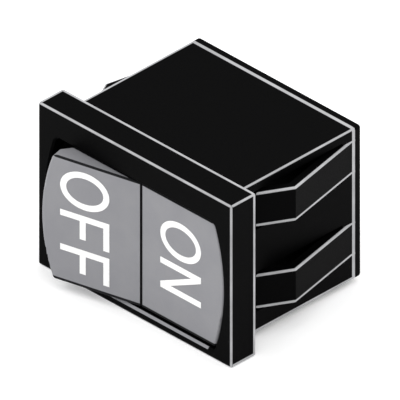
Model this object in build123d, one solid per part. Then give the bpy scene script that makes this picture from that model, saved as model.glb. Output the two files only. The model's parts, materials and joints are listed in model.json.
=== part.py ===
from build123d import *
from math import cos, pi, radians, sin, sqrt, tan
import os

# A snap-in, double-pole rocker switch, in millimetres.
# X runs along the long side, and the ON end of the rocker is at +X.
# Y runs into the panel: the back of the bezel is at y = 0 and the terminals point to +Y.
# The switch is modelled at rest, with its ON end pressed in.

# Bezel and body of the housing
bezel_length = 33.4
bezel_height = 23.6
bezel_depth = 4.35
flange_end = 2.7
flange_side = 0.8
body_depth = 20.85
front_radius = 0.4
seat_edge = 0.2
body_radius = 0.45

# Opening for the rocker: the frame is wider above it than below it, as drawn
top_frame = 3.85
bottom_frame = 1.3
end_frame = 1.5
opening_bow = 1.6
opening_top_radius = 0.9
opening_bottom_radius = 0.4
opening_chamfer = 0.25
well_rim_depth = 2.15
well_floor = 0.5
well_wall = 1.5

# Snap fingers on the short sides
finger_width = 4.9
finger_top_margin = 1.7
finger_bottom_margin = 3.5
finger_wall = 1.25
finger_peak = 2.45
finger_tip_depth = 2.65
finger_peak_depth = 7.05
finger_slit = 0.4
finger_pocket = 2.4
finger_root = 3.3
finger_tip_gap = 0.8
finger_window = 3.8
finger_tail = 1.85
finger_edge = 0.15

# Rocker
throw_angle = 14.0
pivot_depth = 2.5
face_recess = 0.4
face_wall = 1.6
skirt_wall = 1.3
box_wall = 1.2
box_reach = 2.2
rocker_edge_radius = 0.3
crease_width = 0.3
crease_groove = 0.2
end_gap = 0.2
side_gap = 0.2
floor_gap = 0.2
chamber_gap = 0.3
trunnion_radius = 1.5
trunnion_length = 1.3
trunnion_clearance = 0.05
trunnion_end_gap = 0.15

# Contact chamber and base
chamber_wall = 1.2
base_depth = 2.0
base_lip = 0.8
base_clearance = 0.05
base_corner_radius = 0.6
bead_radius = 0.3
bead_length = 12.0
bead_clearance = 0.05
barrier_wall = 1.2
barrier_height = 7.4
barrier_end_gap = 0.5
stop_length = 2.0
stop_width = 3.2

# Poles: the levers rock in the cradles of the common terminals
lever_thickness = 0.6
lever_width = 4.4
lever_angle = 12.0
lever_throw = 16.0
lever_end = 1.7
lever_corner_radius = 0.8
crimp_radius = 1.0
cradle_clearance = 0.04
cradle_height = 3.6
cradle_drop = 0.35
stop_reach = 7.0
stop_gap = 0.05

# Sheet terminals with tabs
tab_width = 4.8
tab_thickness = 0.8
tab_length = 6.3
tab_chamfer = 0.8
tab_hole_radius = 0.7
tab_hole_setback = 3.2
tab_offset = 1.6
tab_clearance = 0.05
tab_wall_gap = 0.5
bend_radius = 0.4

# Contact rivets
contact_gap = 0.05
moving_radius = 1.5
moving_height = 0.8
moving_dome = 0.3
moving_shank = 0.8
upset_radius = 1.2
upset_height = 0.4
fixed_radius = 1.8
fixed_height = 0.6
fixed_shank = 0.9
fixed_edge = 0.15
rivet_clearance = 0.02

# Plungers and their springs
plunger_radius = 2.0
plunger_tip_radius = 1.6
plunger_length = 6.8
plunger_cup_radius = 1.5
plunger_cup_floor = 1.2
plunger_shoulder = 0.4
plunger_gap = 0.1
socket_clearance = 0.1
socket_wall = 1.0
socket_room = 3.5
socket_floor = 1.5
spigot_radius = 0.75
spigot_length = 2.0
spring_wire = 0.4
spring_clearance = 0.15
spring_turns = 6
runs_per_turn = 12
wire_sides = 6

# One overrun serves all cuts
overrun = 1.0

# Sizes that follow from those above
body_length = bezel_length - 2 * flange_end
body_height = bezel_height - 2 * flange_side
upper_finger_z = body_height / 2 - finger_top_margin - finger_width / 2
lower_finger_z = finger_bottom_margin + finger_width / 2 - body_height / 2
opening_length = bezel_length - 2 * end_frame
opening_height = bezel_height - top_frame - bottom_frame
centre_z = (bottom_frame - top_frame) / 2
half_throw = throw_angle / 2
half_lever_throw = lever_throw / 2
well_rim = well_rim_depth - bezel_depth
well_floor_length = body_length - 2 * well_wall
face_y = face_recess - bezel_depth
crease_reach = (pivot_depth - face_y) / cos(radians(half_throw))
cap_height = opening_height - 2 * side_gap
box_height = cap_height - 2 * skirt_wall
chamber_height = box_height + 2 * chamber_gap
chamber_length = body_length - 2 * (finger_pocket + chamber_wall)
box_length = chamber_length - 2 * chamber_gap
floor_y = body_depth - base_depth
lever_y = floor_y - cradle_height
load_x = chamber_length / 2 - tab_wall_gap - tab_width / 2
closed_angle = lever_angle - half_lever_throw
socket_reach = lever_y - pivot_depth - socket_room

# Each pole lies midway between the barrier and a side wall of the chamber
pole_spacing = (chamber_height + barrier_wall) / 2
pole_heights = {"upper": centre_z + pole_spacing / 2, "lower": centre_z - pole_spacing / 2}

# Height of the lever's upper surface over its pivot, where the lines of its two arms cross
lever_valley = lever_thickness / cos(radians(lever_angle)) - crimp_radius * tan(radians(lever_angle))
tip_height = lever_valley + (plunger_tip_radius + plunger_gap) / cos(radians(lever_angle))
tip_reach = lever_y - pivot_depth - tip_height
plunger_back = tip_reach + plunger_tip_radius - plunger_length
cup_floor = tip_reach - plunger_cup_floor
spring_radius = plunger_cup_radius - spring_clearance - spring_wire / 2

# Where the moving contact sits along its arm, and the face that it closes on
contact_reach = (load_x - crimp_radius * cos(radians(half_lever_throw))) / cos(radians(closed_angle))
contact_rise = contact_reach * sin(radians(closed_angle)) - crimp_radius * sin(radians(half_lever_throw))
dome_radius = (moving_radius**2 + moving_dome**2) / (2 * moving_dome)
dome_drop = dome_radius - (dome_radius - moving_height) * cos(radians(closed_angle))
fixed_face_y = lever_y - contact_rise + dome_drop + contact_gap
shelf_y = fixed_face_y + fixed_height

pivot_axis = Axis((0, pivot_depth, 0), (0, 0, 1))
lever_axis = Axis((0, lever_y, 0), (0, 0, 1))


def block(x0, x1, y0, y1, z0, z1):
    """A box between two opposite corners."""
    middle = Pos((x0 + x1) / 2, (y0 + y1) / 2, (z0 + z1) / 2)
    return middle * Box(x1 - x0, y1 - y0, z1 - z0)


def prism(points, z0, z1):
    """A straight prism along Z over a polygon in X and Y."""
    outline = make_face(Polyline(*points, close=True))
    return Pos(0, 0, z0) * extrude(outline, z1 - z0)


def pin(radius, y0, y1, x=0, z=0):
    """A cylinder along Y."""
    return Pos(x, (y0 + y1) / 2, z) * Rot(90, 0, 0) * Cylinder(radius, y1 - y0)


def barrel(y, length, height):
    """The plan of the opening and the rocker: straight long sides and bowed ends, facing the front."""
    corner_x = length / 2 - opening_bow
    half = height / 2
    outline = [
        Line((-corner_x, half), (corner_x, half)),
        ThreePointArc((corner_x, half), (length / 2, 0), (corner_x, -half)),
        Line((corner_x, -half), (-corner_x, -half)),
        ThreePointArc((-corner_x, -half), (-length / 2, 0), (-corner_x, half)),
    ]
    face = make_face(outline)
    face = fillet(face.vertices().sort_by(Axis.Y)[:2], opening_bottom_radius)
    face = fillet(face.vertices().sort_by(Axis.Y)[-2:], opening_top_radius)
    return Plane((0, y, centre_z), x_dir=(1, 0, 0), z_dir=(0, -1, 0)) * face


def tapered(y0, length0, y1, length1, height):
    """A barrel-shaped block whose ends slope from one length to the other."""
    return loft([barrel(y0, length0, height), barrel(y1, length1, height)], ruled=True)


def finger(side, z):
    """One snap finger: a bent strip, free at its tip behind the bezel and rooted at the rear."""
    wall = body_length / 2
    tail = body_depth - finger_tail
    outer = [(wall, finger_tip_depth), (wall + finger_peak, finger_peak_depth), (wall, tail)]
    inner = [(x - finger_wall, y) for x, y in reversed(outer)]
    points = [(side * x, y) for x, y in outer + inner]
    strip = prism(points, z - finger_width / 2, z + finger_width / 2)
    edges = strip.edges().filter_by(Axis.Z, reverse=True).sort_by(lambda edge: side * edge.center().X)
    return chamfer(edges[-4:], finger_edge)


def finger_space(side, z):
    """The pocket round one finger, and the window that its tip springs into."""
    wall = body_length / 2
    half = finger_width / 2 + finger_slit
    front = finger_tip_depth - finger_tip_gap
    pocket = [wall - finger_pocket, wall + overrun]
    window = [chamber_length / 2 - overrun, wall]
    pocket = sorted(side * x for x in pocket)
    window = sorted(side * x for x in window)
    space = block(*pocket, front, body_depth - finger_root, z - half, z + half)
    return space + block(*window, front, front + finger_window, z - half, z + half)


def housing():
    """Bezel, body and fingers, moulded in one."""
    end = bezel_length / 2
    bezel = block(-end, end, -bezel_depth, 0, -bezel_height / 2, bezel_height / 2)
    bezel = fillet(bezel.edges().filter_by(Axis.Y), front_radius)
    bezel = fillet(bezel.faces().sort_by(Axis.Y)[0].edges(), front_radius)
    bezel = chamfer(bezel.faces().sort_by(Axis.Y)[-1].edges(), seat_edge)
    end = body_length / 2
    body = block(-end, end, -overrun, body_depth, -body_height / 2, body_height / 2)
    body = fillet(body.edges().filter_by(Axis.Y), body_radius)
    body = fillet(body.faces().sort_by(Axis.Y)[-1].edges(), body_radius)
    shell = bezel + body
    # the well that the rocker dips into: a straight rim, then sloped ends
    well = barrel(well_rim, opening_length, opening_height)
    shell -= extrude(well, well_rim_depth + overrun)
    shell -= tapered(well_rim, opening_length, well_floor, well_floor_length, opening_height)
    shell = chamfer(opening_edges(shell), opening_chamfer)
    # the contact chamber, open at the rear for the base
    half_length = chamber_length / 2
    low = centre_z - chamber_height / 2
    high = centre_z + chamber_height / 2
    shell -= block(-half_length, half_length, well_floor - overrun, body_depth, low, high)
    rear = half_length + base_lip
    rebate = block(-rear, rear, floor_y, body_depth + overrun, low - base_lip, high + base_lip)
    rebate = fillet(rebate.edges().filter_by(Axis.Y), base_corner_radius)
    shell -= rebate
    for z in (low - base_lip, high + base_lip):
        shell -= bead(z, bead_radius + bead_clearance, bead_length + 2 * bead_clearance)
    # blind bearings for the rocker's trunnions
    bearing_reach = box_height / 2 + trunnion_length + trunnion_end_gap
    bearing = Cylinder(trunnion_radius + trunnion_clearance, 2 * bearing_reach)
    shell -= Pos(0, pivot_depth, centre_z) * bearing
    for side in (-1, 1):
        for z in (lower_finger_z, upper_finger_z):
            shell -= finger_space(side, z)
            shell += finger(side, z)
    return shell


def opening_edges(shell):
    """The front edges of the rocker's opening."""
    front = shell.faces().filter_by(Axis.Y).sort_by(Axis.Y)[0]
    return front.inner_wires()[0].edges()


def bead(z, radius, length):
    """The ridge that snaps the base into the housing, or the groove for it."""
    middle = (floor_y + body_depth) / 2
    return Pos(0, middle, z) * Rot(0, 90, 0) * Cylinder(radius, length)


def rocker_half():
    """The pressed half of the rocker, with its face square to the bezel."""
    rim_y = well_rim - floor_gap / 2
    bottom_y = well_floor - floor_gap
    cap_length = opening_length - 2 * end_gap
    floor_length = well_floor_length - 2 * end_gap
    plan = barrel(rim_y, cap_length, cap_height)
    rim = extrude(plan, rim_y - face_y)
    rim = fillet(rim.faces().sort_by(Axis.Y)[0].edges(), rocker_edge_radius)
    skirt = tapered(rim_y, cap_length, bottom_y, floor_length, cap_height)
    box_end = box_length / 2
    box_bottom = pivot_depth + box_reach
    inner_y = face_y + face_wall
    half = box_height / 2
    box = block(-box_end, box_end, inner_y, box_bottom, centre_z - half, centre_z + half)
    # a pocket under each end of the face keeps the wall even
    hollow_top = cap_length - 2 * skirt_wall - 2 * face_wall
    hollow_bottom = floor_length - 2 * skirt_wall
    hollow = tapered(inner_y, hollow_top, bottom_y, hollow_bottom, box_height)
    inside = box_end - box_wall
    half -= box_wall
    cavity = block(-inside, inside, inner_y, box_bottom + overrun, centre_z - half, centre_z + half)
    return rim + skirt - hollow + box - cavity


def socket(z):
    """The tube that guides one plunger, as a solid between the side walls of the rocker's box."""
    radius = plunger_radius + socket_clearance + socket_wall
    tube = pin(radius, pivot_depth - crease_reach + face_wall / 2, pivot_depth + socket_reach, z=z)
    low = centre_z - box_height / 2
    high = centre_z + box_height / 2
    return tube & block(-radius, radius, -bezel_length, bezel_length, low, high)


def socket_bore(z):
    """The bore of that tube, with the spigot that centres the spring left standing."""
    floor = pivot_depth - socket_floor
    bore = pin(plunger_radius + socket_clearance, floor, pivot_depth + socket_reach + overrun, z=z)
    return bore - pin(spigot_radius, floor, floor + spigot_length, z=z)


def rocker():
    """Two mirrored halves that meet at the crease, then turned so that the ON half is pressed."""
    half = rocker_half().rotate(pivot_axis, -half_throw)
    keep = block(0, bezel_length, -bezel_length, bezel_length, -bezel_height, bezel_height)
    half = half & keep
    cap = half + mirror(half, Plane.YZ)
    for z in pole_heights.values():
        cap += socket(z)
    for z in pole_heights.values():
        cap -= socket_bore(z)
    crease_y = pivot_depth - crease_reach
    groove = block(-crease_width / 2, crease_width / 2, crease_y - overrun, crease_y + crease_groove,
                   centre_z - opening_height, centre_z + opening_height)
    cap -= groove
    trunnion = Cylinder(trunnion_radius, trunnion_length + box_wall)
    for side in (-1, 1):
        z = centre_z + side * (box_height / 2 + (trunnion_length - box_wall) / 2)
        cap += Pos(0, pivot_depth, z) * trunnion
    return cap.rotate(pivot_axis, half_throw)


def base():
    """The rear plate, with the wall between the poles, the stops and the rests for the load terminals."""
    half_length = chamber_length / 2 + base_lip - base_clearance
    half_height = chamber_height / 2 + base_lip - base_clearance
    low = centre_z - half_height
    high = centre_z + half_height
    plate = block(-half_length, half_length, floor_y, body_depth, low, high)
    plate = fillet(plate.edges().filter_by(Axis.Y), base_corner_radius)
    for z in (low, high):
        plate += bead(z, bead_radius, bead_length)
    barrier_end = chamber_length / 2 - barrier_end_gap
    wall = block(-barrier_end, barrier_end, floor_y - barrier_height, floor_y,
                 centre_z - barrier_wall / 2, centre_z + barrier_wall / 2)
    plate += wall
    for z in pole_heights.values():
        plate += off_stop(z)
        rest_width = tab_width / 2
        plate += block(-load_x - rest_width, -load_x + rest_width, shelf_y + tab_thickness, floor_y,
                       z - tab_offset + tab_thickness, z + lever_width / 2)
        for x in (0, -load_x):
            plate -= tab_slot(x, z)
    return plate


def off_stop(z):
    """The post under the lever's idle arm, sloped to meet it in the OFF position."""
    slope = tan(radians(closed_angle))
    drop = crimp_radius * (sin(radians(half_lever_throw)) + cos(radians(half_lever_throw)) * slope)
    ends = (stop_reach - stop_length / 2, stop_reach + stop_length / 2)
    top = [(x, lever_y + drop - x * slope + stop_gap) for x in ends]
    return prism([(ends[0], floor_y), *top, (ends[1], floor_y)], z - stop_width / 2, z + stop_width / 2)


def tab_slot(x, z):
    """The slot in the base for one tab."""
    half_width = tab_width / 2 + tab_clearance
    half_thickness = tab_thickness / 2 + tab_clearance
    middle = z - tab_offset
    return block(x - half_width, x + half_width, floor_y - cradle_height, body_depth + overrun,
                 middle - half_thickness, middle + half_thickness)


def tab_end(x, z):
    """What is cut from a tab: its two lead-in corners and its hole."""
    end = body_depth + tab_length
    low = z - tab_offset - tab_thickness
    high = z - tab_offset + tab_thickness
    cut = Pos(x, end - tab_hole_setback, z - tab_offset) * Cylinder(tab_hole_radius, 2 * tab_thickness)
    for side in (-1, 1):
        edge = x + side * tab_width / 2
        corner = [(edge, end - tab_chamfer), (edge, end), (edge - side * tab_chamfer, end)]
        cut += prism(corner, low, high)
    return cut


def bent_strip(x, width, points):
    """A sheet strip of the tab's thickness along a bent path in Y and Z, with rounded bends."""
    path = FilletPolyline(*[(0, y, z) for y, z in points], radius=bend_radius + tab_thickness / 2)
    start = Plane(path @ 0, x_dir=(1, 0, 0), z_dir=path % 0)
    strip = sweep(start * Rectangle(width, tab_thickness), path=path)
    return Pos(x, 0, 0) * strip


def common_terminal(z):
    """The cradle of one lever: two notched cheeks and a foot, with one cheek running on as the tab."""
    top = lever_y + cradle_drop
    foot = floor_y - tab_thickness / 2
    near = z - tab_offset
    far = z + tab_offset
    cradle = bent_strip(0, tab_width, [(top, far), (foot, far), (foot, near)])
    tab = block(-tab_width / 2, tab_width / 2, top, body_depth + tab_length,
                near - tab_thickness / 2, near + tab_thickness / 2)
    notch = Pos(0, lever_y, z) * Cylinder(crimp_radius + cradle_clearance, lever_width)
    return cradle + tab - notch - tab_end(0, z)


def load_terminal(z):
    """The tab on the load side, bent into the shelf that carries the fixed contact."""
    shelf = shelf_y + tab_thickness / 2
    near = z - tab_offset
    far = z + tab_offset
    strip = bent_strip(-load_x, tab_width, [(body_depth + tab_length, near), (shelf, near), (shelf, far)])
    below = shelf_y + tab_thickness + overrun
    hole = pin(fixed_shank + rivet_clearance, shelf_y - overrun, below, -load_x, z)
    return strip - hole - tab_end(-load_x, z)


def fixed_contact(z):
    """The flat rivet on the shelf."""
    head = pin(fixed_radius, fixed_face_y, shelf_y, -load_x, z)
    head = chamfer(head.edges().sort_by(Axis.Y)[0], fixed_edge)
    return head + pin(fixed_shank, shelf_y, shelf_y + tab_thickness, -load_x, z)


def arm_point(reach, rise, side):
    """A point on one arm of the level lever: along its lower face from the crimp, then up through it."""
    angle = radians(lever_angle)
    x = crimp_radius + reach * cos(angle) - rise * sin(angle)
    y = lever_y - reach * sin(angle) - rise * cos(angle)
    return (side * x, y)


def at_contact(shape, z):
    """Puts a shape made round the Y axis on the lever's closing arm, square to it, and tips it closed."""
    x, y = arm_point(contact_reach, 0, -1)
    placed = Pos(x, y, z) * Rot(0, 0, lever_angle) * shape
    return placed.rotate(lever_axis, -half_lever_throw)


def contact_lever(z):
    """A strip with a half-round crimp that rocks in the cradle, and two arms that rise from it."""
    inner = crimp_radius - lever_thickness
    angle = radians(lever_angle)
    valley = lever_y - lever_thickness / cos(angle) + lever_thickness * tan(angle)
    load_reach = contact_reach + lever_end
    idle_reach = (stop_reach - crimp_radius) / cos(angle) + stop_length / 2
    outline = [
        Line((inner, valley), arm_point(idle_reach, lever_thickness, 1)),
        Line(arm_point(idle_reach, lever_thickness, 1), arm_point(idle_reach, 0, 1)),
        Line(arm_point(idle_reach, 0, 1), (crimp_radius, lever_y)),
        ThreePointArc((crimp_radius, lever_y), (0, lever_y + crimp_radius), (-crimp_radius, lever_y)),
        Line((-crimp_radius, lever_y), arm_point(load_reach, 0, -1)),
        Line(arm_point(load_reach, 0, -1), arm_point(load_reach, lever_thickness, -1)),
        Line(arm_point(load_reach, lever_thickness, -1), (-inner, valley)),
        Line((-inner, valley), (-inner, lever_y)),
        ThreePointArc((-inner, lever_y), (0, lever_y + inner), (inner, lever_y)),
        Line((inner, lever_y), (inner, valley)),
    ]
    strip = Pos(0, 0, z - lever_width / 2) * extrude(make_face(outline), lever_width)
    faces = strip.faces().sort_by(Axis.X)
    ends = [face.edges().sort_by(Axis.Z) for face in (faces[0], faces[-1])]
    strip = fillet([edge for edges in ends for edge in (edges[0], edges[-1])], lever_corner_radius)
    strip = strip.rotate(lever_axis, -half_lever_throw)
    hole = pin(moving_shank + rivet_clearance, -lever_thickness - overrun, overrun)
    return strip - at_contact(hole, z)


def moving_contact(z):
    """A rivet through the lever's end: a domed face below, a shank, and a head upset above."""
    edge = moving_height - moving_dome
    profile = [
        Line((0, moving_height), (0, -lever_thickness - upset_height)),
        Line((0, -lever_thickness - upset_height), (upset_radius, -lever_thickness - upset_height)),
        Line((upset_radius, -lever_thickness - upset_height), (upset_radius, -lever_thickness)),
        Line((upset_radius, -lever_thickness), (moving_shank, -lever_thickness)),
        Line((moving_shank, -lever_thickness), (moving_shank, 0)),
        Line((moving_shank, 0), (moving_radius, 0)),
        Line((moving_radius, 0), (moving_radius, edge)),
        ThreePointArc((moving_radius, edge), dome_point(), (0, moving_height)),
    ]
    return at_contact(revolve(make_face(profile), Axis.Y), z)


def dome_point():
    """A point halfway along the moving contact's dome."""
    x = moving_radius / 2
    return (x, moving_height - dome_radius + sqrt(dome_radius**2 - x**2))


def plunger(z):
    """A cup with a round tip, hollow for its spring."""
    centre = pivot_depth + tip_reach
    back = pivot_depth + plunger_back
    floor = pivot_depth + cup_floor
    shoulder = centre - plunger_shoulder
    tip = plunger_tip_radius
    midway = tip / sqrt(2)
    outline = [
        ThreePointArc((0, centre + tip), (midway, centre + midway), (tip, centre)),
        Polyline((tip, centre), (plunger_radius, shoulder), (plunger_radius, back)),
        Polyline((plunger_radius, back), (plunger_cup_radius, back), (plunger_cup_radius, floor)),
        Polyline((plunger_cup_radius, floor), (0, floor), (0, centre + tip)),
    ]
    cup = Pos(0, 0, z) * revolve(make_face(outline), Axis.Y)
    return cup.rotate(pivot_axis, half_throw)


def spring(z):
    """A coil from the socket's floor to the plunger's cup, of short straight runs to keep its faces few."""
    length = cup_floor + socket_floor - spring_wire
    start = pivot_depth - socket_floor + spring_wire / 2
    runs = spring_turns * runs_per_turn
    angles = [2 * pi * run / runs_per_turn for run in range(runs + 1)]
    rise = length / (2 * pi * spring_turns)
    path = Polyline(*[(spring_radius * cos(a), spring_radius * sin(a), rise * a) for a in angles])
    section = Plane(path @ 0, x_dir=(1, 0, 0), z_dir=path % 0) * RegularPolygon(spring_wire / 2, wire_sides)
    coil = sweep(section, path=path, transition=Transition.RIGHT)
    coil = Pos(0, start, z) * Rot(-90, 0, 0) * coil
    return coil.rotate(pivot_axis, half_throw)


os.makedirs("parts", exist_ok=True)
export_step(housing(), "parts/housing.step")
export_step(rocker(), "parts/rocker.step")
export_step(base(), "parts/base.step")
pole_pieces = {
    "plunger": plunger,
    "spring": spring,
    "contact_lever": contact_lever,
    "moving_contact": moving_contact,
    "fixed_contact": fixed_contact,
    "common_terminal": common_terminal,
    "load_terminal": load_terminal,
}
for pole, height in pole_heights.items():
    for name, make in pole_pieces.items():
        export_step(make(height), f"parts/{pole}_{name}.step")
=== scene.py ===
# %% [markdown]
# # Dressing a snap-in rocker switch
# The solids come from the CAD model and already stand in the right place.
# This lesson adds what the solids lack: moulded plastic, print, wire, metal, light and a camera.
# Every length below is in metres, and every place is taken from the frame where that is possible.

# %% Load the frame
import json
import math
import bmesh
import bpy
import numpy as np
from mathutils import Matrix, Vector


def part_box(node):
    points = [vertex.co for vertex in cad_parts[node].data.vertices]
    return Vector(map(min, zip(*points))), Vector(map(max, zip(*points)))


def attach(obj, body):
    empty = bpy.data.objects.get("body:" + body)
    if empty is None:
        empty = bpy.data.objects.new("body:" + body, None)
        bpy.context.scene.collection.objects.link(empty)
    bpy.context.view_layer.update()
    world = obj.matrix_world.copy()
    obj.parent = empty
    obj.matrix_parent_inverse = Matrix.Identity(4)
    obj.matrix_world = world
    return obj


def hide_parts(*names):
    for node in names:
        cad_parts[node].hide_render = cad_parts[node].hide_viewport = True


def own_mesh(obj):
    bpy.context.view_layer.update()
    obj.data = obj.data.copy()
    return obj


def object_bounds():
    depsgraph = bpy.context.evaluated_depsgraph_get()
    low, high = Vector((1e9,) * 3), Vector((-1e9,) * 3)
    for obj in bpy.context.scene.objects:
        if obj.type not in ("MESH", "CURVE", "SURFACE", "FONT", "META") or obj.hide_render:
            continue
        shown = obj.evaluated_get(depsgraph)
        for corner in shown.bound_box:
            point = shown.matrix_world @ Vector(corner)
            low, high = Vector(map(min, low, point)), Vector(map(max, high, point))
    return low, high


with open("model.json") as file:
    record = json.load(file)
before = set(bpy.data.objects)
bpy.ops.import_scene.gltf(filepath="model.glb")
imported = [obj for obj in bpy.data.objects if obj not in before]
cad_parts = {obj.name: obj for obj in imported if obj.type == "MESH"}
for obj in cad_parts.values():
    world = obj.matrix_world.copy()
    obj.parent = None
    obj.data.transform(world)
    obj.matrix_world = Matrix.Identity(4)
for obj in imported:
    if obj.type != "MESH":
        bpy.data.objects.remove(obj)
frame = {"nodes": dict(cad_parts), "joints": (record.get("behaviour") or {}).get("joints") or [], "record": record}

cad_low, cad_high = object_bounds()
MM = 0.001
nodes = frame["nodes"]
print("CAD box in mm:", [round(side / MM, 2) for side in cad_high - cad_low])

# %% [markdown]
# ## The camera
# The drawing is a parallel view: lines that are parallel on the switch stay parallel on the page.
# A perspective lens can't give that, so the camera is orthographic.
# Its turn and height come from the slopes of the drawn edges.
# One drawn scale and one drawn point, the centre of the bezel's back, settle the framing.

# %% Camera
camera_turn = math.radians(45)
camera_height = math.radians(33)
image_pixels = 400
pixels_per_mm = 8.2
origin_pixel = (159.6, 221.6)
camera_distance = 0.4

level = math.cos(camera_height)
to_camera = Vector((math.sin(camera_turn) * level, -math.cos(camera_turn) * level, math.sin(camera_height)))
to_right = Vector((math.cos(camera_turn), math.sin(camera_turn), 0))
to_top = to_camera.cross(to_right)
right_shift = (image_pixels / 2 - origin_pixel[0]) / pixels_per_mm * MM
top_shift = (origin_pixel[1] - image_pixels / 2) / pixels_per_mm * MM

camera_data = bpy.data.cameras.new("camera")
camera_data.type = "ORTHO"
camera_data.ortho_scale = image_pixels / pixels_per_mm * MM
camera = bpy.data.objects.new("camera", camera_data)
camera.location = to_right * right_shift + to_top * top_shift + to_camera * camera_distance
camera.rotation_euler = to_camera.to_track_quat("Z", "Y").to_euler()
bpy.context.scene.collection.objects.link(camera)
bpy.context.scene.camera = camera
print("camera sees", round(camera_data.ortho_scale / MM, 1), "mm across")

# %% [markdown]
# ## Helpers for meshes
# A new piece is a grid of points worked out by a formula, and faces between neighbours.
# Modifiers could build some of them, but points from a formula can be measured and placed exactly.
# Writing the faces once, for any grid, keeps each piece down to its own formula.
# The object stays at the origin with its place in its points, as the CAD nodes do.

# %% Grid and mesh helpers
def grid_faces(rows, columns, close_rows=False, close_columns=False):
    """Quads between rows i, i + 1 and columns j, j + 1 of a grid, going round where it is closed."""
    i = np.arange(rows if close_rows else rows - 1)
    j = np.arange(columns if close_columns else columns - 1)
    i, j = (index.ravel() for index in np.meshgrid(i, j, indexing="ij"))
    below = (i + 1) % rows
    beside = (j + 1) % columns
    corners = [i * columns + j, below * columns + j, below * columns + beside, i * columns + beside]
    return np.stack(corners, axis=1).tolist()


def make_piece(name, points, faces, body):
    """A mesh object from points and faces, with its faces turned outwards, riding on a body."""
    mesh = bpy.data.meshes.new(name)
    mesh.from_pydata(points.tolist(), [], faces)
    shape = bmesh.new()
    shape.from_mesh(mesh)
    bmesh.ops.recalc_face_normals(shape, faces=shape.faces)
    shape.to_mesh(mesh)
    shape.free()
    piece = bpy.data.objects.new(name, mesh)
    bpy.context.scene.collection.objects.link(piece)
    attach(piece, body)
    print(name, len(mesh.vertices), "points", len(mesh.polygons), "faces")
    return piece


print("a grid of 3 by 4 points has", len(grid_faces(3, 4)), "faces")

# %% [markdown]
# ## Measuring the rocker
# The rocker has two flat facets that meet at a crease.
# The print has to lie on them, so their planes are measured on the CAD mesh.
# The throw comes from the hinge: at rest the ON facet is square to the bezel, and OFF leans by the throw.

# %% Facet planes
def mesh_arrays(node):
    """Centres, normals and areas of a node's faces, as arrays."""
    faces = nodes[node].data.polygons
    centres = np.zeros(len(faces) * 3)
    normals = np.zeros(len(faces) * 3)
    areas = np.zeros(len(faces))
    faces.foreach_get("center", centres)
    faces.foreach_get("normal", normals)
    faces.foreach_get("area", areas)
    return centres.reshape(-1, 3), normals.reshape(-1, 3), areas


same_way = 0.9999
facet_slack = 0.05 * MM


def facet_plane(node, normal):
    """How far the node's frontmost face with this normal lies along it, as the mean of its triangles."""
    centres, normals, areas = mesh_arrays(node)
    facing = normals @ normal > same_way
    depth = centres[facing] @ normal
    front = depth > depth.max() - facet_slack
    return float(np.average(depth[front], weights=areas[facing][front]))


hinge = next(joint for joint in frame["joints"] if joint["name"] == "rocker_pivot")
throw = math.radians(hinge["range_deg"][1])
pivot = np.array(hinge["pos_m"])
facets = {}
for word, lean in (("ON", 0.0), ("OFF", throw)):
    along = np.array([math.cos(lean), math.sin(lean), 0.0])
    normal = np.array([math.sin(lean), -math.cos(lean), 0.0])
    facets[word] = {"along": along, "normal": normal, "depth": facet_plane("rocker", normal)}
    print(word, "facet stands", round(facets[word]["depth"] / MM, 3), "mm out along its normal")

# %% [markdown]
# ## The print
# ON and OFF are pad-printed in white, and read from top to bottom.
# Blender's text could write them, but its letters have their own widths and ends.
# Here a letter is an outline carried up through the ink: straight strokes are polygons, the O is a ring.
# The ink's edge is rounded off by drawing the top of the film in a little.

# %% Sizes of the letters and the ink
letter_height = 7.0 * MM
letter_stroke = 0.86 * MM
letter_widths = {"O": 5.4 * MM, "F": 4.1 * MM, "N": 4.4 * MM}
ink_height = 0.05 * MM
ink_sink = 0.03 * MM
ink_edge = 0.04 * MM
film_levels = np.array([(0, -ink_sink), (0, ink_height / 2), (ink_edge, ink_height)])
print("letters", letter_height / MM, "mm high, in ink", ink_height / MM, "mm thick")

# %% [markdown]
# F and N have straight strokes, so a list of corners describes them.
# The top of the film is the same list drawn in.
# Scaling the list would thin some strokes more than others, and a mitre at each corner doesn't.

# %% Straight letters
middle_arm_share = 0.85
middle_arm_height_share = 0.52


def straight_outline(letter):
    """Corner points of F or N in its own box, anticlockwise, from its stroke and width."""
    high = letter_height
    wide = letter_widths[letter]
    stroke = letter_stroke
    if letter == "F":
        arm = wide * middle_arm_share
        middle = high * middle_arm_height_share
        under = middle - stroke
        corners = [(0, 0), (stroke, 0), (stroke, under), (arm, under), (arm, middle), (stroke, middle)]
        corners += [(stroke, high - stroke), (wide, high - stroke), (wide, high), (0, high)]
    else:
        drop = high * stroke / (wide - stroke)
        inside = wide - stroke
        corners = [(0, 0), (stroke, 0), (stroke, high - drop), (inside, 0), (wide, 0)]
        corners += [(wide, high), (inside, high), (inside, drop), (stroke, high), (0, high)]
    return np.array(corners, float)


def drawn_in(outline, inset):
    """Moves each corner inwards along the mitre of its two edges, so that both edges move by inset."""
    edge = np.roll(outline, -1, axis=0) - outline
    edge /= np.linalg.norm(edge, axis=1, keepdims=True)
    inward = np.stack([-edge[:, 1], edge[:, 0]], axis=1)
    before = np.roll(inward, 1, axis=0)
    mitre = (inward + before) / (1 + (inward * before).sum(axis=1, keepdims=True))
    return outline + inset * mitre


def straight_letter(letter):
    """The outline at each level of the film as one row of a grid, with a cap at both ends."""
    outline = straight_outline(letter)
    rows = [np.c_[drawn_in(outline, inset), np.full(len(outline), height)] for inset, height in film_levels]
    count = len(outline)
    faces = grid_faces(len(rows), count, close_columns=True)
    faces.append(list(range((len(rows) - 1) * count, len(rows) * count)))
    faces.append(list(range(count)))
    return np.concatenate(rows), faces


print("F has", len(straight_outline("F")), "corners, N has", len(straight_outline("N")))

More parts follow.
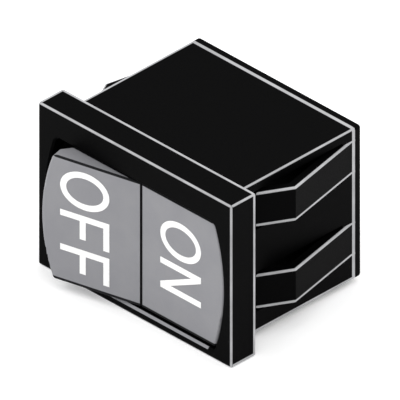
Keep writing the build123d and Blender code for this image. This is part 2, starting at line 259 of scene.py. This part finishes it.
# %% [markdown]
# The O is a ring, so it is swept: the film's profile goes once round an ellipse.
# A flat ring could be cut from a disc, but the sweep gives the rounded edges in the same step.

# %% The O
ring_points = 72


def ring_letter():
    """The film's profile, from its outer foot over its top to its inner foot, carried round an ellipse."""
    angle = np.linspace(0, 2 * np.pi, ring_points, endpoint=False)
    half = np.array([letter_widths["O"], letter_height]) / 2
    outer = film_levels
    inner = np.c_[letter_stroke - film_levels[::-1, 0], film_levels[::-1, 1]]
    profile = np.concatenate([outer, inner])
    spread = half[None, None, :] - profile[None, :, :1]
    around = np.stack([np.cos(angle), np.sin(angle)], axis=1)[:, None, :]
    plan = half + around * spread
    height = np.broadcast_to(profile[None, :, 1:], (ring_points, len(profile), 1))
    points = np.concatenate([plan, height], axis=2).reshape(-1, 3)
    return points, grid_faces(ring_points, len(profile), close_rows=True, close_columns=True)


print("O has", len(ring_letter()[0]), "points")

# %% [markdown]
# A word is its letters side by side, centred, then laid on its facet.
# The reading direction runs down the switch, and the letters' tops point to the ON end.
# The ink rides on the rocker, so it tips with it.

# %% Words on the facets
word_centres = {"ON": 7.6 * MM, "OFF": -7.0 * MM}
word_rises = {"ON": 0.9 * MM, "OFF": 0.1 * MM}
letter_gap = 0.9 * MM


def word_points(word):
    """All letters of a word in a row, as points (reading, up, out) round the word's centre."""
    points, faces, start, count = [], [], 0.0, 0
    for letter in word:
        shape, quads = ring_letter() if letter == "O" else straight_letter(letter)
        points.append(shape + np.array([start, 0, 0]))
        faces += [[index + count for index in quad] for quad in quads]
        start += letter_widths[letter] + letter_gap
        count += len(shape)
    points = np.concatenate(points)
    points[:, 0] -= (start - letter_gap) / 2
    points[:, 1] -= letter_height / 2
    return points, faces


prints = []
reading = np.array([0.0, 0.0, -1.0])
for word, facet in facets.items():
    flat, faces = word_points(word)
    foot = facet["depth"] * facet["normal"]
    foot = foot + facet["along"] * (word_centres[word] - foot[0]) / facet["along"][0]
    foot[2] = pivot[2] + word_rises[word]
    placed = foot + flat[:, :1] * reading + flat[:, 1:2] * facet["along"] + flat[:, 2:] * facet["normal"]
    prints.append(make_piece(f"print_{word.lower()}", placed, faces, "rocker"))

# %% [markdown]
# ## The springs
# Each plunger has a coil spring of round wire behind it.
# The CAD coil is made of short straight runs, so a round wire is carried along a helix in its place.
# The end turns lie close together, as on a real compression spring, and the pitch opens between them.
# A screw modifier gives one pitch only, so the helix is worked out point by point.

# %% Round wire coils
coil_turns = 7.0
closed_turns = 0.9
points_per_turn = 40
wire_points = 12
spring_wire = 0.4 * MM


def coil(inner_end, outer_end, radius):
    """A circle of wire carried along a helix whose pitch opens smoothly between its closed end turns."""
    axis = outer_end - inner_end
    length = np.linalg.norm(axis) - spring_wire
    axis = axis / np.linalg.norm(axis)
    side = np.array([0.0, 0.0, 1.0])
    across = np.cross(axis, side)
    turns = np.linspace(0, coil_turns, int(coil_turns * points_per_turn) + 1)
    ramp = np.clip((turns - closed_turns / 2) / (coil_turns - closed_turns), 0, 1)
    ends = spring_wire * (np.minimum(turns, closed_turns) + np.maximum(turns - coil_turns + closed_turns, 0))
    rise = ends + (length - 2 * spring_wire * closed_turns) * ramp * ramp * (3 - 2 * ramp)
    angle = 2 * np.pi * turns
    outward = np.cos(angle)[:, None] * side + np.sin(angle)[:, None] * across
    line = inner_end + outward * radius + (rise + spring_wire / 2)[:, None] * axis
    tangent = np.gradient(line, axis=0)
    tangent /= np.linalg.norm(tangent, axis=1, keepdims=True)
    binormal = np.cross(tangent, outward)
    around = np.linspace(0, 2 * np.pi, wire_points, endpoint=False)[None, :, None]
    circle = np.cos(around) * outward[:, None] + np.sin(around) * binormal[:, None]
    points = line[:, None] + circle * spring_wire / 2
    rows = len(line)
    faces = grid_faces(rows, wire_points, close_columns=True)
    faces += [list(range(wire_points)), list(range((rows - 1) * wire_points, rows * wire_points))]
    return points.reshape(-1, 3), faces


print("springs of", coil_turns, "turns in wire of", round(spring_wire / MM, 2), "mm")

# %% [markdown]
# A spring's place and size are read from the CAD coil that it replaces.
# It presses the plunger along the slide, so the slide gives its axis.
# The spring rides on the rocker.

# %% Springs in their places
springs = []
for pole in ("upper", "lower"):
    slide = next(joint for joint in frame["joints"] if joint["name"] == f"{pole}_plunger_slide")
    inward = np.array(slide["axis"])
    vertices = np.array([vertex.co for vertex in nodes[f"{pole}_spring"].data.vertices])
    middle = np.array([pivot[0], pivot[1], vertices[:, 2].mean()])
    reach = (vertices - middle) @ -inward
    radial = np.linalg.norm(vertices - middle + reach[:, None] * inward, axis=1)
    first = middle - inward * reach.min()
    last = middle - inward * reach.max()
    points, faces = coil(first, last, radial.max() - spring_wire / 2)
    spring = make_piece(f"{pole}_wire_spring", points, faces, "rocker")
    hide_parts(f"{pole}_spring")
    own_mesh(spring)
    springs.append(spring)

# %% [markdown]
# ## Helpers for finishes
# A finish is a small network of nodes that reads a point's place on the object.
# It could be wired by hand in the shader editor, but a line of code for each step is easier to follow.
# The first helpers start a finish, and do one step of arithmetic on numbers or on vectors.

# %% Arithmetic nodes
def start_finish(name):
    """A new material: its node tree, its shader, and the point being shaded in metres."""
    material = bpy.data.materials.new(name)
    material.use_nodes = True
    tree = material.node_tree
    place = tree.nodes.new("ShaderNodeTexCoord").outputs["Object"]
    return material, tree, tree.nodes["Principled BSDF"], place


def wire(tree, socket, value):
    """Links a socket to an output, or sets it to a plain value."""
    if isinstance(value, bpy.types.NodeSocket):
        tree.links.new(value, socket)
    else:
        socket.default_value = value


def number(tree, operation, *values):
    """One step of arithmetic on numbers."""
    node = tree.nodes.new("ShaderNodeMath")
    node.operation = operation
    for socket, value in zip(node.inputs, values):
        wire(tree, socket, value)
    return node.outputs[0]


def vector(tree, operation, *values):
    """One step of arithmetic on vectors: the result is a vector, or a number for a dot product."""
    node = tree.nodes.new("ShaderNodeVectorMath")
    node.operation = operation
    for socket, value in zip(node.inputs, values):
        wire(tree, socket, value)
    return node.outputs["Value" if operation == "DOT_PRODUCT" else "Vector"]


def parts(tree, value):
    """The X, Y and Z of a vector."""
    node = tree.nodes.new("ShaderNodeSeparateXYZ")
    tree.links.new(value, node.inputs["Vector"])
    return node.outputs


# %% [markdown]
# The other helpers make what most finishes need.
# There is noise of a known size, a band of values, a mix of two colours, and a relief for the light.
# Pictures could give the same, but noise has no seams and stays sharp from close by.
# The last helper keeps each finish under its name.

# %% Noise, colour and relief nodes
noise_range = (0.3, 0.7)
noise_detail = 3.0
every_way = (1, 1, 1)
finishes = {}


def band(tree, value, low, high, to_low, to_high):
    """Carries a value from one range to another along a smooth step, and holds it outside."""
    node = tree.nodes.new("ShaderNodeMapRange")
    node.interpolation_type = "SMOOTHSTEP"
    for name, setting in (("From Min", low), ("From Max", high), ("To Min", to_low), ("To Max", to_high)):
        node.inputs[name].default_value = setting
    wire(tree, node.inputs["Value"], value)
    return node.outputs["Result"]


def grain(tree, place, size, stretch=every_way):
    """Noise with features of about this size in metres, drawn out along an axis where stretch is below 1."""
    turn = tree.nodes.new("ShaderNodeMapping")
    turn.inputs["Scale"].default_value = stretch
    wire(tree, turn.inputs["Vector"], place)
    noise = tree.nodes.new("ShaderNodeTexNoise")
    noise.inputs["Scale"].default_value = 1 / size
    noise.inputs["Detail"].default_value = noise_detail
    wire(tree, noise.inputs["Vector"], turn.outputs["Vector"])
    return noise.outputs["Fac"]


def blend_colours(tree, share, first, second):
    """A colour between two, by share."""
    node = tree.nodes.new("ShaderNodeMix")
    node.data_type = "RGBA"
    wire(tree, node.inputs["Factor"], share)
    wire(tree, node.inputs["A"], first)
    wire(tree, node.inputs["B"], second)
    return node.outputs["Result"]


def relief(tree, shader, height, depth):
    """Raises the surface by a height pattern of this depth, for the light only."""
    bump = tree.nodes.new("ShaderNodeBump")
    bump.inputs["Distance"].default_value = depth
    wire(tree, bump.inputs["Height"], height)
    tree.links.new(bump.outputs["Normal"], shader.inputs["Normal"])


def fine_grain(tree, shader, place, size, roughness, depth, stretch=every_way):
    """A fine noise that varies the roughness between two values and raises the surface by a depth."""
    fine = grain(tree, place, size, stretch)
    tree.links.new(band(tree, fine, *noise_range, *roughness), shader.inputs["Roughness"])
    relief(tree, shader, fine, depth)


def keep_finish(name, material):
    """Stores a finish under a name and prints how many nodes it takes."""
    finishes[name] = material
    print(name, "takes", len(material.node_tree.nodes), "nodes")


# %% [markdown]
# ## Black moulding
# Bezel, body and fingers are one moulding in black plastic with a fine spark-eroded grain.
# The drawing marks every outer edge with a pale line: it is the light that a rounded edge catches.
# Lights alone give that from one side only, so the finish paints it on: a pale highlight along every edge, a
# little patchy in strength.
# An edge is found by place: it is where a point lies close to two faces of a box at once.
# So the boxes, the fingers and the sill below the rocker are measured first.

# %% Boxes of the bezel and the body
seat_line = 0.3 * MM
rear_line = 1.4 * MM
behind_bezel = 1 * MM
shoulder_height = 1 * MM
finger_start = 0.1 * MM

bezel_low, bezel_high = (np.array(corner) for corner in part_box("housing"))
body_rear = bezel_high[1]
bezel_high[1] = -seat_line
housing_points = np.array([vertex.co for vertex in nodes["housing"].data.vertices])
behind = housing_points[housing_points[:, 1] > behind_bezel]
body_half_height = np.abs(behind[:, 2]).max()
shoulder = behind[np.abs(behind[:, 2]) > body_half_height - shoulder_height]
body_half_length = np.abs(shoulder[:, 0]).max()
body_low = np.array([-body_half_length, bezel_low[1], -body_half_height])
body_high = np.array([body_half_length, body_rear - rear_line, body_half_height])
proud = behind[np.abs(behind[:, 0]) > body_half_length + finger_start]
fingers = [proud[proud[:, 2] > 0, 2], proud[proud[:, 2] < 0, 2]]
fingers = [(float(z.min()), float(z.max())) for z in fingers]
print("body in mm", (body_high - body_low) / MM)
print("fingers in mm", [[round(z / MM, 2) for z in pair] for pair in fingers])

# %% [markdown]
# The sill is the opening's lower edge, with a small chamfer that the drawing marks with a grey line, painted on
# here as a highlight.
# Its place is read from the points of the bezel's front that lie inside the rim.
# The line stops short of the opening's round corners, as the drawn one does.

# %% Sill below the rocker
front_slack = 0.01 * MM
bezel_rim = 0.6 * MM
sill_end_gap = 2.8 * MM
sill_chamfer = 0.25 * MM

front = housing_points[housing_points[:, 1] < bezel_low[1] + front_slack]
inner = front[np.abs(front[:, 2]) < bezel_high[2] - bezel_rim]
sill = inner[inner[:, 2] < 0]
sill_half = float(np.abs(sill[:, 0]).max()) - sill_end_gap
sill_middle = np.array([bezel_low[1], sill[:, 2].min()]) + sill_chamfer / 2
print("sill at y, z in mm", sill_middle / MM, "half length", round(sill_half / MM, 2))

# %% [markdown]
# Each snap finger bulges in two slopes: one lets it through the panel, and the other grips from behind.
# Their angles could be typed in from the CAD source, but the mesh tells them as they are.
# The largest face that leans each way gives a normal and a distance.

# %% Slopes of the fingers
upright_limit = 0.01
outward_limit = 0.3

centres, normals, areas = mesh_arrays("housing")
outer = (centres[:, 0] > body_half_length) & (centres[:, 1] > behind_bezel)
outer &= (np.abs(normals[:, 2]) < upright_limit) & (normals[:, 0] > outward_limit)
slopes = []
for towards in (-1, 1):
    face = outer & (normals[:, 1] * towards > 0)
    largest = areas[face].argmax()
    normal = normals[face][largest]
    slopes.append((tuple(normal), float(centres[face][largest] @ normal)))
print("finger slopes", slopes)

# %% [markdown]
# The distances to a box's faces are plain subtractions, and two of them are small only near an edge.
# A mesh attribute could mark the edges too, but the CAD meshes stay as they are.
# From the drawing's corner half of a low edge is out of sight, so its line is drawn in.

# %% Lines along a box
edge_width = 0.28 * MM
far_away = 10 * MM
low_line = 0.3 * MM


def face_gaps(tree, place, low, high):
    """Distances to the nearer face of a box along X, Y and Z."""
    offset = vector(tree, "SUBTRACT", place, tuple((low + high) / 2))
    gap = vector(tree, "SUBTRACT", vector(tree, "ABSOLUTE", offset), tuple((high - low) / 2))
    return parts(tree, vector(tree, "ABSOLUTE", gap))


def box_edges(tree, place, low, high):
    """Distance to the nearest edge of a box: near an edge, two of the distances to its faces are small.
    Edges along Y at the low corners are drawn in by low_line, because half of each is out of sight,
    and start behind the line along the front."""
    x, y, z = face_gaps(tree, place, low, high)
    upright = number(tree, "MAXIMUM", x, y)
    level = number(tree, "MAXIMUM", y, z)
    x, y, z = face_gaps(tree, place, low + np.array([low_line, 0, low_line]), high)
    at_front = number(tree, "LESS_THAN", parts(tree, place)[1], float(low[1]) + edge_width)
    deep = number(tree, "MULTIPLY_ADD", at_front, far_away, number(tree, "MAXIMUM", z, x))
    return number(tree, "MINIMUM", number(tree, "MINIMUM", upright, level), deep)


print("edge lines reach", round(edge_width / MM, 2), "mm from an edge")

# %% [markdown]
# The fingers' painted highlight lines run along their two slopes, and the sill's painted highlight runs along its
# chamfer.
# Both are distances again, and a mask sends the points that don't belong to them far away.

# %% Lines along the fingers and the sill
finger_line = 0.2 * MM
finger_margin = 0.05 * MM


def finger_edges(tree, place):
    """Distance to the long outer edges of the fingers, both to an outer slope and to a finger's side,
    and far away on the wall beside them and inside it."""
    mirrored = vector(tree, "ABSOLUTE", place)
    rises = [vector(tree, "DOT_PRODUCT", mirrored, normal) for normal, reach in slopes]
    rises = [number(tree, "SUBTRACT", rise, reach) for rise, (normal, reach) in zip(rises, slopes)]
    depth = number(tree, "ABSOLUTE", number(tree, "MAXIMUM", *rises))
    height = parts(tree, place)[2]
    beyond = []
    for low, high in fingers:
        low += finger_line
        offset = number(tree, "ABSOLUTE", number(tree, "SUBTRACT", height, (low + high) / 2))
        beyond.append(number(tree, "SUBTRACT", offset, (high - low) / 2))
    sides = [number(tree, "ABSOLUTE", gap) for gap in beyond]
    reach = parts(tree, mirrored)[0]
    on_wall = number(tree, "LESS_THAN", reach, float(body_half_length) + finger_margin)
    within = number(tree, "LESS_THAN", reach, float(body_half_length) - finger_margin)
    outside = number(tree, "GREATER_THAN", number(tree, "MINIMUM", *beyond), finger_margin)
    off_finger = number(tree, "MAXIMUM", within, number(tree, "MULTIPLY", on_wall, outside))
    distance = number(tree, "MAXIMUM", depth, number(tree, "MINIMUM", *sides))
    return number(tree, "MULTIPLY_ADD", off_finger, far_away, distance)


def sill_edge(tree, place):
    """Distance to the middle of the opening's lower chamfer, and far away past its ends."""
    x, y, z = parts(tree, place)
    across = [number(tree, "ABSOLUTE", number(tree, "SUBTRACT", a, b)) for a, b in zip((y, z), sill_middle)]
    past = number(tree, "GREATER_THAN", number(tree, "ABSOLUTE", x), sill_half)
    return number(tree, "MULTIPLY_ADD", past, far_away, number(tree, "MAXIMUM", *across))


print("lines for", len(fingers), "fingers at each end and one sill")

# %% [markdown]
# The finish goes from black to a painted highlight grey by the distance to the nearest line.
# Bezel and body have lines of their own, so each is kept to its side of the seat.
# Gloss is very low: a drawing's black mirrors nothing, and a matt moulding comes close to that.

# %% Black moulding finish
black = (0.0012, 0.0012, 0.0013, 1)
# The painted highlight on the edges, and the dimmer painted highlight on the sill's chamfer.
edge_highlight_grey = (0.42, 0.42, 0.43, 1)
sill_highlight_grey = (0.27, 0.27, 0.285, 1)
edge_fade = 0.08 * MM
seat_slack = 0.02 * MM
# Size and strength range of the patches in the painted edge highlight.
highlight_patch_size = 3 * MM
highlight_patch_shares = (0.8, 1.0)
housing_gloss = 0.016
housing_grain = {"size": 0.16 * MM, "roughness": (0.36, 0.5), "depth": 0.012 * MM}


def black_moulding():
    """Near-black plastic with a fine grain and painted highlights along its edges."""
    material, tree, shader, place = start_finish("black_moulding")
    depth = parts(tree, place)[1]
    behind_seat = number(tree, "GREATER_THAN", depth, seat_slack)
    at_rear = number(tree, "GREATER_THAN", depth, float(body_high[1]) + edge_width)
    on_bezel = box_edges(tree, place, bezel_low, bezel_high)
    on_body = number(tree, "MINIMUM", box_edges(tree, place, body_low, body_high), finger_edges(tree, place))
    on_bezel = number(tree, "MULTIPLY_ADD", behind_seat, far_away, on_bezel)
    off_body = number(tree, "ADD", number(tree, "SUBTRACT", 1, behind_seat), at_rear)
    on_body = number(tree, "MULTIPLY_ADD", off_body, far_away, on_body)
    distance = number(tree, "MINIMUM", on_bezel, on_body)
    # The painted highlight along the edges, made a little patchy by a large noise.
    highlight_patches = band(tree, grain(tree, place, highlight_patch_size), *noise_range, *highlight_patch_shares)
    line = number(tree, "MULTIPLY", band(tree, distance, edge_width - edge_fade, edge_width, 1, 0), highlight_patches)
    # The painted highlight along the sill's chamfer.
    sill_width = sill_chamfer / 2
    sill_highlight = band(tree, sill_edge(tree, place), sill_width, sill_width + edge_fade / 2, 1, 0)
    colour = blend_colours(tree, line, blend_colours(tree, sill_highlight, black, sill_highlight_grey), edge_highlight_grey)
    tree.links.new(colour, shader.inputs["Base Color"])
    shader.inputs["Specular IOR Level"].default_value = housing_gloss
    fine_grain(tree, shader, place, **housing_grain)
    return material


keep_finish("black_moulding", black_moulding())

# %% [markdown]
# ## Base moulding
# The rear plate is a separate moulding of heat-proof black, a little greyer than the housing.
# It gets no painted edge highlights, but its filler shows as faint clouds and flow lines.
# Stretching the noise along X, the way the plastic ran into the mould, gives the lines.

# %% Base moulding finish
base_black = (0.010, 0.010, 0.011, 1)
base_cloud = (0.018, 0.018, 0.019, 1)
flow_size = 1.5 * MM
flow_stretch = (0.25, 1, 1)
flow_range = (0.35, 0.7)
base_gloss = 0.3
base_grain = {"size": 0.18 * MM, "roughness": (0.42, 0.58), "depth": 0.012 * MM}


def base_moulding():
    """Dark plastic with faint flow lines and a fine grain."""
    material, tree, shader, place = start_finish("base_moulding")
    flow = band(tree, grain(tree, place, flow_size, flow_stretch), *flow_range, 0, 1)
    tree.links.new(blend_colours(tree, flow, base_black, base_cloud), shader.inputs["Base Color"])
    shader.inputs["Specular IOR Level"].default_value = base_gloss
    fine_grain(tree, shader, place, **base_grain)
    return material


keep_finish("base_moulding", base_moulding())

# %% [markdown]
# ## Grey moulding
# The rocker is moulded in one mid-grey plastic with the same fine grain, only smoother.
# The drawing outlines its facets in black. On the part this is painted shade, in the crease and along the long
# edges.
# Lines drawn on as pieces would stand proud of the facets, so they are part of the finish.
# The painted shade has no gloss either, so no reflection lightens it.

# %% Lines along the facets
outline_width = 0.26 * MM
rocker_low, rocker_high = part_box("rocker")


def facet_outline(tree, place):
    """Distance to the long edges of the facets: to a facet's plane and to the rocker's top or bottom.
    The lower edge is drawn up by the line's width, because half of it is out of sight."""
    planes = []
    for facet in facets.values():
        rise = vector(tree, "DOT_PRODUCT", place, tuple(facet["normal"]))
        planes.append(number(tree, "ABSOLUTE", number(tree, "SUBTRACT", rise, facet["depth"])))
    low = rocker_low[2] + outline_width
    height = number(tree, "SUBTRACT", parts(tree, place)[2], (low + rocker_high[2]) / 2)
    side = number(tree, "SUBTRACT", number(tree, "ABSOLUTE", height), (rocker_high[2] - low) / 2)
    return number(tree, "MAXIMUM", number(tree, "MINIMUM", *planes), number(tree, "ABSOLUTE", side))


print("rocker from", round(rocker_low[2] / MM, 2), "to", round(rocker_high[2] / MM, 2), "mm in height")

# %% [markdown]
# The crease's plane runs through the pivot, halfway between the facets' directions.
# A dot product tells how far a point is from that plane, and another how far it is from the pivot.
# The second keeps the painted shade on the outside of the rocker.

# %% Grey moulding finish
grey = (0.235, 0.235, 0.248, 1)
grey_deep = (0.218, 0.218, 0.233, 1)
# The colour of the painted shade in the crease and along the long edges.
painted_shade_black = (0.012, 0.012, 0.013, 1)
crease_width = 0.22 * MM
crease_fade = 0.03 * MM
crease_start = (4 * MM, 4.5 * MM)
outline_fade = 0.04 * MM
cloud_size = 4 * MM
rocker_gloss = 0.3
# The gloss of the painted shade.
painted_shade_gloss = 0.03
rocker_grain = {"size": 0.14 * MM, "roughness": (0.42, 0.55), "depth": 0.008 * MM}


def grey_moulding():
    """Mid-grey plastic, with painted shade in the crease between its facets and along its long edges."""
    material, tree, shader, place = start_finish("grey_moulding")
    half = throw / 2
    across = (math.cos(half), math.sin(half), 0)
    outward = (math.sin(half), -math.cos(half), 0)
    offset = vector(tree, "SUBTRACT", place, tuple(pivot))
    gap = number(tree, "ABSOLUTE", vector(tree, "DOT_PRODUCT", offset, across))
    height = vector(tree, "DOT_PRODUCT", offset, outward)
    # Painted shade in the crease, kept to the outside of the rocker.
    crease_shade = band(tree, gap, crease_width - crease_fade, crease_width, 1, 0)
    crease_shade = number(tree, "MULTIPLY", crease_shade, band(tree, height, *crease_start, 0, 1))
    cloud = band(tree, grain(tree, place, cloud_size), *noise_range, 0, 1)
    # Painted shade along the facets' long edges.
    outline = band(tree, facet_outline(tree, place), outline_width - outline_fade, outline_width, 1, 0)
    painted_shade = number(tree, "MAXIMUM", crease_shade, outline)
    colour = blend_colours(tree, painted_shade, blend_colours(tree, cloud, grey, grey_deep), painted_shade_black)
    tree.links.new(colour, shader.inputs["Base Color"])
    # The painted shade loses its gloss, so no reflection lightens it.
    gloss = number(tree, "MULTIPLY_ADD", painted_shade, painted_shade_gloss - rocker_gloss, rocker_gloss)
    tree.links.new(gloss, shader.inputs["Specular IOR Level"])
    fine_grain(tree, shader, place, **rocker_grain)
    return material


keep_finish("grey_moulding", grey_moulding())

# %% [markdown]
# ## Ink
# The print is a matt white ink, a little uneven where the pad pressed harder.
# A plain white would do from afar, but a faint mottle keeps the print from looking like paper.

# %% Ink finish
ink_white = (0.9, 0.9, 0.89, 1)
ink_thin = (0.84, 0.84, 0.83, 1)
mottle_size = 0.5 * MM
mottle_range = (0.35, 0.65)
ink_roughness = 0.6
ink_gloss = 0.25
ink_grain_size = 0.12 * MM
faint_depth = 0.004 * MM


def white_ink():
    """Matt white print with a faint mottle."""
    material, tree, shader, place = start_finish("white_ink")
    mottle = band(tree, grain(tree, place, mottle_size), *mottle_range, 0, 1)
    tree.links.new(blend_colours(tree, mottle, ink_white, ink_thin), shader.inputs["Base Color"])
    shader.inputs["Roughness"].default_value = ink_roughness
    shader.inputs["Specular IOR Level"].default_value = ink_gloss
    relief(tree, shader, grain(tree, place, ink_grain_size), faint_depth)
    return material


keep_finish("white_ink", white_ink())

# %% [markdown]
# ## Acetal
# The plungers are natural acetal, a slippery off-white plastic that looks waxy.
# A glossy white would look like porcelain, so a little light goes below the surface instead.
# Faint flow lines run along the plunger, the way the plastic filled it.

# %% Acetal finish
acetal_pale = (0.80, 0.79, 0.74, 1)
acetal_deep = (0.72, 0.70, 0.64, 1)
acetal_flow_size = 1.2 * MM
acetal_flow_stretch = (1, 0.3, 1)
acetal_roughness = 0.38
acetal_scatter = 0.15
acetal_scatter_depth = 0.3 * MM
acetal_grain_size = 0.2 * MM


def acetal():
    """Waxy off-white plastic."""
    material, tree, shader, place = start_finish("acetal")
    flow = band(tree, grain(tree, place, acetal_flow_size, acetal_flow_stretch), *noise_range, 0, 1)
    tree.links.new(blend_colours(tree, flow, acetal_pale, acetal_deep), shader.inputs["Base Color"])
    shader.inputs["Roughness"].default_value = acetal_roughness
    shader.inputs["Subsurface Weight"].default_value = acetal_scatter
    shader.inputs["Subsurface Scale"].default_value = acetal_scatter_depth
    relief(tree, shader, grain(tree, place, acetal_grain_size), faint_depth)
    return material


keep_finish("acetal", acetal())

# %% [markdown]
# ## Metals
# The levers and terminals are stamped from rolled strip, which has fine streaks along the way of rolling.
# The wire and the rivets have a fine grain with no direction.
# One function makes all four metals, because only colour, roughness and the way of rolling differ.

# %% Metal finishes
tarnish_size = 1.8 * MM
tarnish_range = (0.45, 0.75)
streak_size = 0.12 * MM
along_x = (0.06, 1, 1)
along_y = (1, 0.06, 1)
# bright colour, tarnished colour, lowest and highest roughness, way of rolling
metals = {
    "spring_steel": ((0.62, 0.62, 0.64, 1), (0.42, 0.41, 0.40, 1), (0.2, 0.34), every_way),
    "copper_strip": ((0.90, 0.52, 0.34, 1), (0.62, 0.33, 0.20, 1), (0.22, 0.4), along_x),
    "contact_silver": ((0.88, 0.87, 0.84, 1), (0.60, 0.58, 0.53, 1), (0.25, 0.42), every_way),
    "terminal_brass": ((0.86, 0.66, 0.34, 1), (0.60, 0.44, 0.22, 1), (0.22, 0.4), along_y),
}


def rolled_metal(name, bright, dull, roughness, stretch):
    """Metal with streaks along its rolling direction and patches of thin tarnish."""
    material, tree, shader, place = start_finish(name)
    tarnish = band(tree, grain(tree, place, tarnish_size), *tarnish_range, 0, 1)
    tree.links.new(blend_colours(tree, tarnish, bright, dull), shader.inputs["Base Color"])
    shader.inputs["Metallic"].default_value = 1.0
    fine_grain(tree, shader, place, streak_size, roughness, faint_depth, stretch)
    return material


for name, settings in metals.items():
    keep_finish(name, rolled_metal(name, *settings))

# %% [markdown]
# ## Putting the finishes on
# The record names a material slot for each node, and the finishes have the slots' names.
# A table from node to finish would say the same twice, so the record is used.
# Only the base differs: it shares the housing's slot but has its own finish.

# %% Finishes on the nodes and pieces
slots = {part["node"]: part["material_slot"] for part in frame["record"]["subparts"]}
slots["base"] = "base_moulding"
for name, node in nodes.items():
    node.data.materials.clear()
    node.data.materials.append(finishes[slots[name]])
for piece in prints:
    piece.data.materials.append(finishes["white_ink"])
for spring in springs:
    spring.data.materials.append(finishes["spring_steel"])
    spring.data.shade_smooth()
print("finishes on", len(nodes), "nodes,", len(prints), "words and", len(springs), "springs")

# %% [markdown]
# ## Floor and light
# The drawing stands on plain white paper, so the floor is a pale sheet and the world is white.
# A backdrop could curve up behind the switch, but from this height the sheet fills the picture.
# The sheet glows a little, so that the switch's shadow stays faint: the drawing has none.

# %% Floor
floor_half = 0.8
floor_points = 41
paper = (0.93, 0.93, 0.93, 1)
paper_shade = (0.90, 0.90, 0.90, 1)
paper_glow = 0.22
paper_roughness = 0.9
paper_gloss = 0.1
fibre_size = 6 * MM


def flat_grid(half, count, height):
    """Points on a level square grid at one height."""
    line = np.linspace(-half, half, count)
    x, y = np.meshgrid(line, line, indexing="ij")
    return np.stack([x.ravel(), y.ravel(), np.full(x.size, height)], axis=1)


floor_mesh = bpy.data.meshes.new("floor")
floor_grid = flat_grid(floor_half, floor_points, cad_low[2])
upward = [quad[::-1] for quad in grid_faces(floor_points, floor_points)]
floor_mesh.from_pydata(floor_grid.tolist(), [], upward)
floor = bpy.data.objects.new("floor", floor_mesh)
bpy.context.scene.collection.objects.link(floor)
material, tree, shader, place = start_finish("paper")
fibres = band(tree, grain(tree, place, fibre_size), *noise_range, 0, 1)
tree.links.new(blend_colours(tree, fibres, paper, paper_shade), shader.inputs["Base Color"])
shader.inputs["Roughness"].default_value = paper_roughness
shader.inputs["Specular IOR Level"].default_value = paper_gloss
shader.inputs["Emission Color"].default_value = paper
shader.inputs["Emission Strength"].default_value = paper_glow
floor_mesh.materials.append(material)
print("floor at", round(cad_low[2] / MM, 2), "mm")

# %% [markdown]
# Two soft lights stand where the bezel's upper edges mirror them to the camera.
# A large one overhead lights the paper, and a weak one from the camera's side evens out the facets.
# One sun would be simpler, but its hard shadow would draw lines that the switch doesn't have.

# %% Lights
centre = (cad_low + cad_high) / 2
light_distance = 0.32
# direction from the switch, size in metres, power in watts
light_plan = {
    "left_softbox": ((-0.59, -0.54, 0.59), 0.22, 0.35),
    "rear_softbox": ((0.54, 0.59, 0.59), 0.20, 0.35),
    "front_fill": ((0.45, -0.80, 0.40), 0.30, 0.05),
    "top_softbox": ((0.0, 0.0, 1.0), 0.40, 0.6),
}
for name, (direction, size, power) in light_plan.items():
    data = bpy.data.lights.new(name, "AREA")
    data.size = size
    data.energy = power
    light = bpy.data.objects.new(name, data)
    light.location = centre + Vector(direction).normalized() * light_distance
    light.rotation_euler = Vector(direction).to_track_quat("Z", "Y").to_euler()
    light.visible_camera = False
    bpy.context.scene.collection.objects.link(light)
print(len(light_plan), "lights")

# %% [markdown]
# The world gives light from all sides, as a white room does.
# A picture of a studio would bring its own colours, so the world is plain white.
# The standard view transform shows a colour as it is, so the paper stays white.

# %% World
world_white = (1, 1, 1, 1)
world_strength = 0.72
world = bpy.data.worlds.new("studio")
world.use_nodes = True
background = world.node_tree.nodes["Background"]
background.inputs["Color"].default_value = world_white
background.inputs["Strength"].default_value = world_strength
bpy.context.scene.world = world
bpy.context.scene.view_settings.view_transform = "Standard"
print("world at", world_strength)
